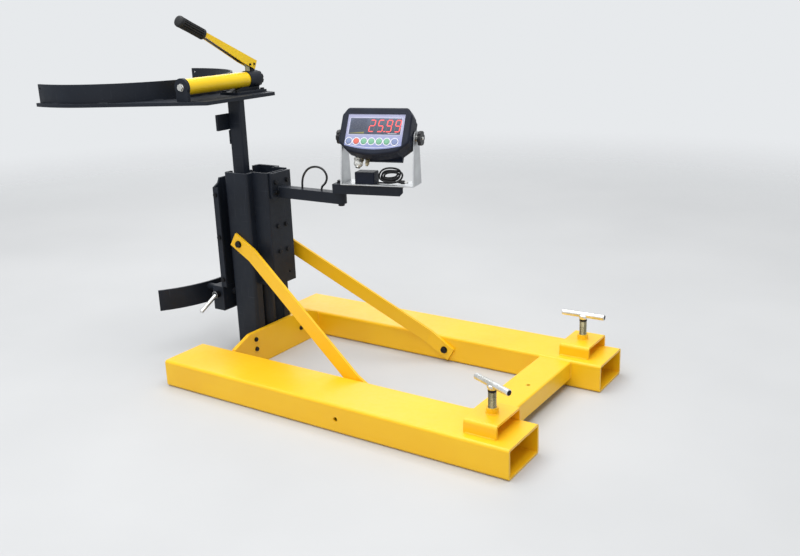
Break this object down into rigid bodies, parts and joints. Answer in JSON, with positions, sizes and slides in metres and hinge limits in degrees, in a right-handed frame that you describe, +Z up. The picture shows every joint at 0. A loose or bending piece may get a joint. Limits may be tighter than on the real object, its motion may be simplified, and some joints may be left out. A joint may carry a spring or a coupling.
{
  "type": "forklift drum lifter",
  "caption": "Fork-mounted drum lifter: fork pockets, braced mast, hand-pumped carriage with a drum holder, and a swivelling weight indicator on an arm.",
  "frame": {"origin": "under the middle of the mast, on the underside of its foot plate, level with the fork pockets' undersides", "axes": "+Z up along the mast, +X back along the fork pockets towards the truck, -X towards the drum, +Y to the driver's right"},
  "size_m": [1.5165, 0.6858, 0.996],
  "materials": {
    "yellow_paint": "gloss enamel",
    "black_paint": "satin powder coat",
    "zinc_steel": "bright zinc plate",
    "black_steel": "black oxide",
    "stainless_steel": "brushed sheet",
    "ground_steel": "ground and plated",
    "rubber_black": "moulded",
    "cord_black": "smooth sheath",
    "case_plastic": "fine grained",
    "knob_plastic": "moulded",
    "panel_film": "printed film",
    "window_plastic": "dark tinted",
    "key_blue": "domed film",
    "key_red": "domed film",
    "key_green": "domed film",
    "gland_metal": "plated"
  },
  "bodies": {
    "frame": {"left_fork_pocket": "yellow_paint", "right_fork_pocket": "yellow_paint", "rear_cross_tube": "yellow_paint", "front_plate": "yellow_paint", "left_screw_saddle": "yellow_paint", "right_screw_saddle": "yellow_paint", "left_brace": "yellow_paint", "right_brace": "yellow_paint", "left_mast_channel": "black_paint", "right_mast_channel": "black_paint", "mast_foot": "black_paint", "mast_cover": "black_paint", "lift_cylinder": "black_paint", "indicator_arm": "black_paint", "frame_bolts": "black_steel", "arm_cable": "cord_black"},
    "carriage": {"carriage_plate": "black_paint", "saddle_block": "black_paint", "drum_post": "black_paint", "carriage_spine": "black_paint", "lift_rod": "ground_steel", "load_cell": "zinc_steel", "top_plate": "black_paint", "drum_band": "black_paint", "pump_tube": "yellow_paint", "pump_end_cap": "black_paint", "pump_head": "black_paint", "carriage_bolts": "black_steel"},
    "upper_rollers": {"upper_rollers": "zinc_steel"},
    "lower_rollers": {"lower_rollers": "zinc_steel"},
    "pump_plunger": {"pump_plunger": "ground_steel"},
    "pump_lever": {"pump_lever": "yellow_paint", "lever_grip": "rubber_black", "lever_pins": "zinc_steel"},
    "release_knob": {"release_knob": "knob_plastic"},
    "lower_saddle": {"lower_saddle": "black_paint"},
    "clamp_lever": {"clamp_lever": "zinc_steel"},
    "left_clamp_pad": {"left_clamp_pad": "zinc_steel"},
    "right_clamp_pad": {"right_clamp_pad": "zinc_steel"},
    "left_clamp_screw": {"left_clamp_screw": "zinc_steel"},
    "right_clamp_screw": {"right_clamp_screw": "zinc_steel"},
    "tray": {"tray": "black_paint", "yoke": "stainless_steel", "power_adapter": "case_plastic", "cable_hank": "cord_black", "cord_plug": "cord_black"},
    "indicator": {"indicator_front": "case_plastic", "indicator_back": "case_plastic", "face_panel": "panel_film", "display_window": "window_plastic", "cable_glands": "gland_metal"},
    "inner_tilt_knob": {"inner_tilt_knob": "knob_plastic"},
    "outer_tilt_knob": {"outer_tilt_knob": "knob_plastic"},
    "key_1": {"key_1": "key_blue"},
    "key_2": {"key_2": "key_red"},
    "key_3": {"key_3": "key_green"},
    "key_4": {"key_4": "key_green"},
    "key_5": {"key_5": "key_green"},
    "key_6": {"key_6": "key_green"},
    "key_7": {"key_7": "key_blue"}
  },
  "joints": [
    {"name": "carriage_lift", "type": "slide", "parent": "frame", "child": "carriage", "axis": [0, 0, 1], "range_m": [-0.075, 0.05]},
    {"name": "upper_roller_turn", "type": "hinge", "parent": "carriage", "child": "upper_rollers", "pos_m": [0, 0, 0.47], "axis": [0, 1, 0], "range_deg": [-86, 128]},
    {"name": "lower_roller_turn", "type": "hinge", "parent": "carriage", "child": "lower_rollers", "pos_m": [0, 0, 0.235], "axis": [0, 1, 0], "range_deg": [-128, 86]},
    {"name": "pump_stroke", "type": "hinge", "parent": "carriage", "child": "pump_lever", "pos_m": [-0.0885, 0.127, 0.85], "axis": [-1, 0, 0], "range_deg": [-22, 25]},
    {"name": "plunger_slide", "type": "slide", "parent": "carriage", "child": "pump_plunger", "axis": [0, 0, 1], "range_m": [-0.007, 0.008]},
    {"name": "release_turn", "type": "hinge", "parent": "carriage", "child": "release_knob", "pos_m": [-0.0885, 0.142, 0.807], "axis": [0, 1, 0], "range_deg": [0, 180]},
    {"name": "saddle_slide", "type": "slide", "parent": "carriage", "child": "lower_saddle", "axis": [1, 0, 0], "range_m": [-0.03, 0.01]},
    {"name": "clamp_lever_turn", "type": "hinge", "parent": "carriage", "child": "clamp_lever", "pos_m": [-0.08625, -0.097, 0.198], "axis": [0, 1, 0], "range_deg": [-90, 90]},
    {"name": "left_pad_slide", "type": "slide", "parent": "frame", "child": "left_clamp_pad", "axis": [0, 0, 1], "range_m": [-0.03, 0.01]},
    {"name": "left_screw_turn", "type": "hinge", "parent": "left_clamp_pad", "child": "left_clamp_screw", "pos_m": [0.9115, -0.2537, 0.123], "axis": [0, 0, 1], "range_deg": [-4330, 1450]},
    {"name": "right_pad_slide", "type": "slide", "parent": "frame", "child": "right_clamp_pad", "axis": [0, 0, 1], "range_m": [-0.03, 0.01]},
    {"name": "right_screw_turn", "type": "hinge", "parent": "right_clamp_pad", "child": "right_clamp_screw", "pos_m": [0.9115, 0.2797, 0.123], "axis": [0, 0, 1], "range_deg": [-4330, 1450]},
    {"name": "tray_swing", "type": "hinge", "parent": "frame", "child": "tray", "pos_m": [0.318, 0, 0.52], "axis": [0, 0, 1], "range_deg": [-60, 60]},
    {"name": "indicator_tilt", "type": "hinge", "parent": "tray", "child": "indicator", "pos_m": [0.42972, 0.034, 0.671], "axis": [-0.9744, -0.225, 0], "range_deg": [-15, 25]},
    {"name": "inner_knob_turn", "type": "hinge", "parent": "indicator", "child": "inner_tilt_knob", "pos_m": [0.32887, 0.01072, 0.671], "axis": [-0.9744, -0.225, 0], "range_deg": [0, 720]},
    {"name": "outer_knob_turn", "type": "hinge", "parent": "indicator", "child": "outer_tilt_knob", "pos_m": [0.53056, 0.05728, 0.671], "axis": [0.9744, 0.225, 0], "range_deg": [0, 720]},
    {"name": "key_1_press", "type": "slide", "parent": "indicator", "child": "key_1", "axis": [0.1948, -0.8438, 0.5], "range_m": [-0.0008, 0], "stiffness_N_per_m": 900},
    {"name": "key_2_press", "type": "slide", "parent": "indicator", "child": "key_2", "axis": [0.1948, -0.8438, 0.5], "range_m": [-0.0008, 0], "stiffness_N_per_m": 900},
    {"name": "key_3_press", "type": "slide", "parent": "indicator", "child": "key_3", "axis": [0.1948, -0.8438, 0.5], "range_m": [-0.0008, 0], "stiffness_N_per_m": 900},
    {"name": "key_4_press", "type": "slide", "parent": "indicator", "child": "key_4", "axis": [0.1948, -0.8438, 0.5], "range_m": [-0.0008, 0], "stiffness_N_per_m": 900},
    {"name": "key_5_press", "type": "slide", "parent": "indicator", "child": "key_5", "axis": [0.1948, -0.8438, 0.5], "range_m": [-0.0008, 0], "stiffness_N_per_m": 900},
    {"name": "key_6_press", "type": "slide", "parent": "indicator", "child": "key_6", "axis": [0.1948, -0.8438, 0.5], "range_m": [-0.0008, 0], "stiffness_N_per_m": 900},
    {"name": "key_7_press", "type": "slide", "parent": "indicator", "child": "key_7", "axis": [0.1948, -0.8438, 0.5], "range_m": [-0.0008, 0], "stiffness_N_per_m": 900}
  ],
  "couplings": [
    {"joint": "upper_roller_turn", "follows": "carriage_lift", "rad_per_m": -29.412},
    {"joint": "lower_roller_turn", "follows": "carriage_lift", "rad_per_m": 29.412},
    {"joint": "plunger_slide", "follows": "pump_stroke", "m_per_rad": 0.018},
    {"joint": "left_screw_turn", "follows": "left_pad_slide", "rad_per_m": 2513.3},
    {"joint": "right_screw_turn", "follows": "right_pad_slide", "rad_per_m": 2513.3}
  ]
}
